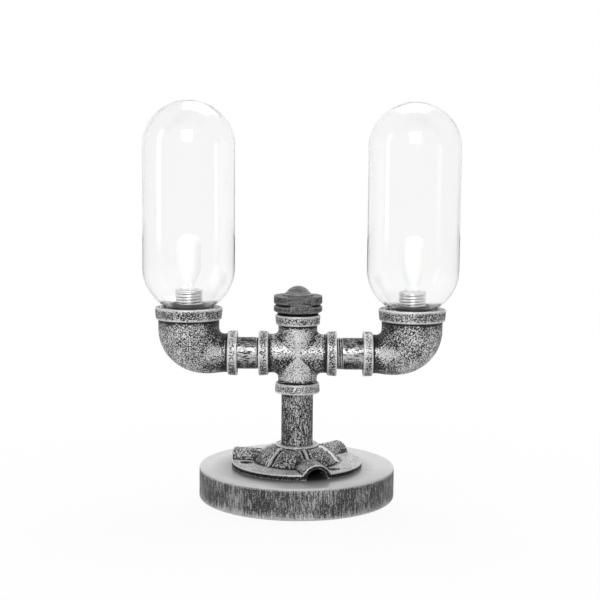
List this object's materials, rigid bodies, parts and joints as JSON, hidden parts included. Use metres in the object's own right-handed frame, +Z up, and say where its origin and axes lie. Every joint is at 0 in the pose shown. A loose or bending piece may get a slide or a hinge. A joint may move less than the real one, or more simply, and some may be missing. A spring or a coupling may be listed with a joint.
{
  "type": "table lamp",
  "caption": "Industrial table lamp of cast pipe fittings on a round wooden base, with two upright clear glass capsules and a dimmer knob.",
  "frame": {"origin": "on the table under the axis of the stand pipe, at the underside of the felt pad", "axes": "+Z up along the stand pipe; X along the arms, with the shorter arm and the left glass at -X; the front seen in the picture faces -Y and the cord inlet faces +Y"},
  "size_m": [0.2486, 0.1548, 0.3123],
  "materials": {
    "grey_wood": "grey stained and waxed, worn paler at the edges",
    "felt": "black pressed felt",
    "black_plastic": "black moulded nylon",
    "porcelain": "unglazed white porcelain",
    "cast_fitting": "black cast iron, dry brushed with silver",
    "pipe_steel": "black steel pipe, dry brushed with silver",
    "bright_steel": "zinc plated steel",
    "holder_steel": "black oxide steel",
    "knob_metal": "turned steel, gunmetal oil finish",
    "brass": "spring brass",
    "silicone": "translucent silicone rubber",
    "clear_glass": "clear blown borosilicate glass",
    "opal": "opal white moulded cover",
    "lead_black": "black insulated flex"
  },
  "bodies": {
    "stand": {"base_disc": "grey_wood", "base_felt": "felt", "cord_bush": "black_plastic", "terminal_block": "porcelain", "floor_flange": "cast_fitting", "flange_screws": "bright_steel", "stand_pipe": "pipe_steel", "pipe_cross": "cast_fitting", "left_nipple": "pipe_steel", "right_nipple": "pipe_steel", "left_elbow": "cast_fitting", "right_elbow": "cast_fitting", "top_plug": "holder_steel", "dimmer_body": "black_plastic", "dimmer_nut": "bright_steel", "left_holder_plate": "holder_steel", "left_lock_nut": "bright_steel", "left_sleeve": "bright_steel", "left_insert": "porcelain", "left_contacts": "brass", "left_seal": "silicone", "left_ring_nut": "bright_steel", "left_leads": "lead_black", "right_holder_plate": "holder_steel", "right_lock_nut": "bright_steel", "right_sleeve": "bright_steel", "right_insert": "porcelain", "right_contacts": "brass", "right_seal": "silicone", "right_ring_nut": "bright_steel", "right_leads": "lead_black", "feed_leads": "lead_black"},
    "knob": {"dimmer_shaft": "bright_steel", "knob": "knob_metal", "knob_washer": "knob_metal", "knob_screw": "bright_steel", "knob_cap": "knob_metal"},
    "left_shade": {"left_glass": "clear_glass"},
    "left_bulb": {"left_bulb_cover": "opal", "left_bulb_foot": "opal", "left_bulb_pins": "bright_steel"},
    "right_shade": {"right_glass": "clear_glass"},
    "right_bulb": {"right_bulb_cover": "opal", "right_bulb_foot": "opal", "right_bulb_pins": "bright_steel"}
  },
  "joints": [
    {"name": "knob_turn", "type": "hinge", "parent": "stand", "child": "knob", "pos_m": [0, 0, 0.1476], "axis": [0, 0, -1], "range_deg": [0, 300]},
    {"name": "left_shade_lift", "type": "slide", "parent": "stand", "child": "left_shade", "axis": [0, 0, 1], "range_m": [0, 0.076]},
    {"name": "left_bulb_pull", "type": "slide", "parent": "stand", "child": "left_bulb", "axis": [0, 0, 1], "range_m": [0, 0.015]},
    {"name": "right_shade_lift", "type": "slide", "parent": "stand", "child": "right_shade", "axis": [0, 0, 1], "range_m": [0, 0.076]},
    {"name": "right_bulb_pull", "type": "slide", "parent": "stand", "child": "right_bulb", "axis": [0, 0, 1], "range_m": [0, 0.015]}
  ]
}
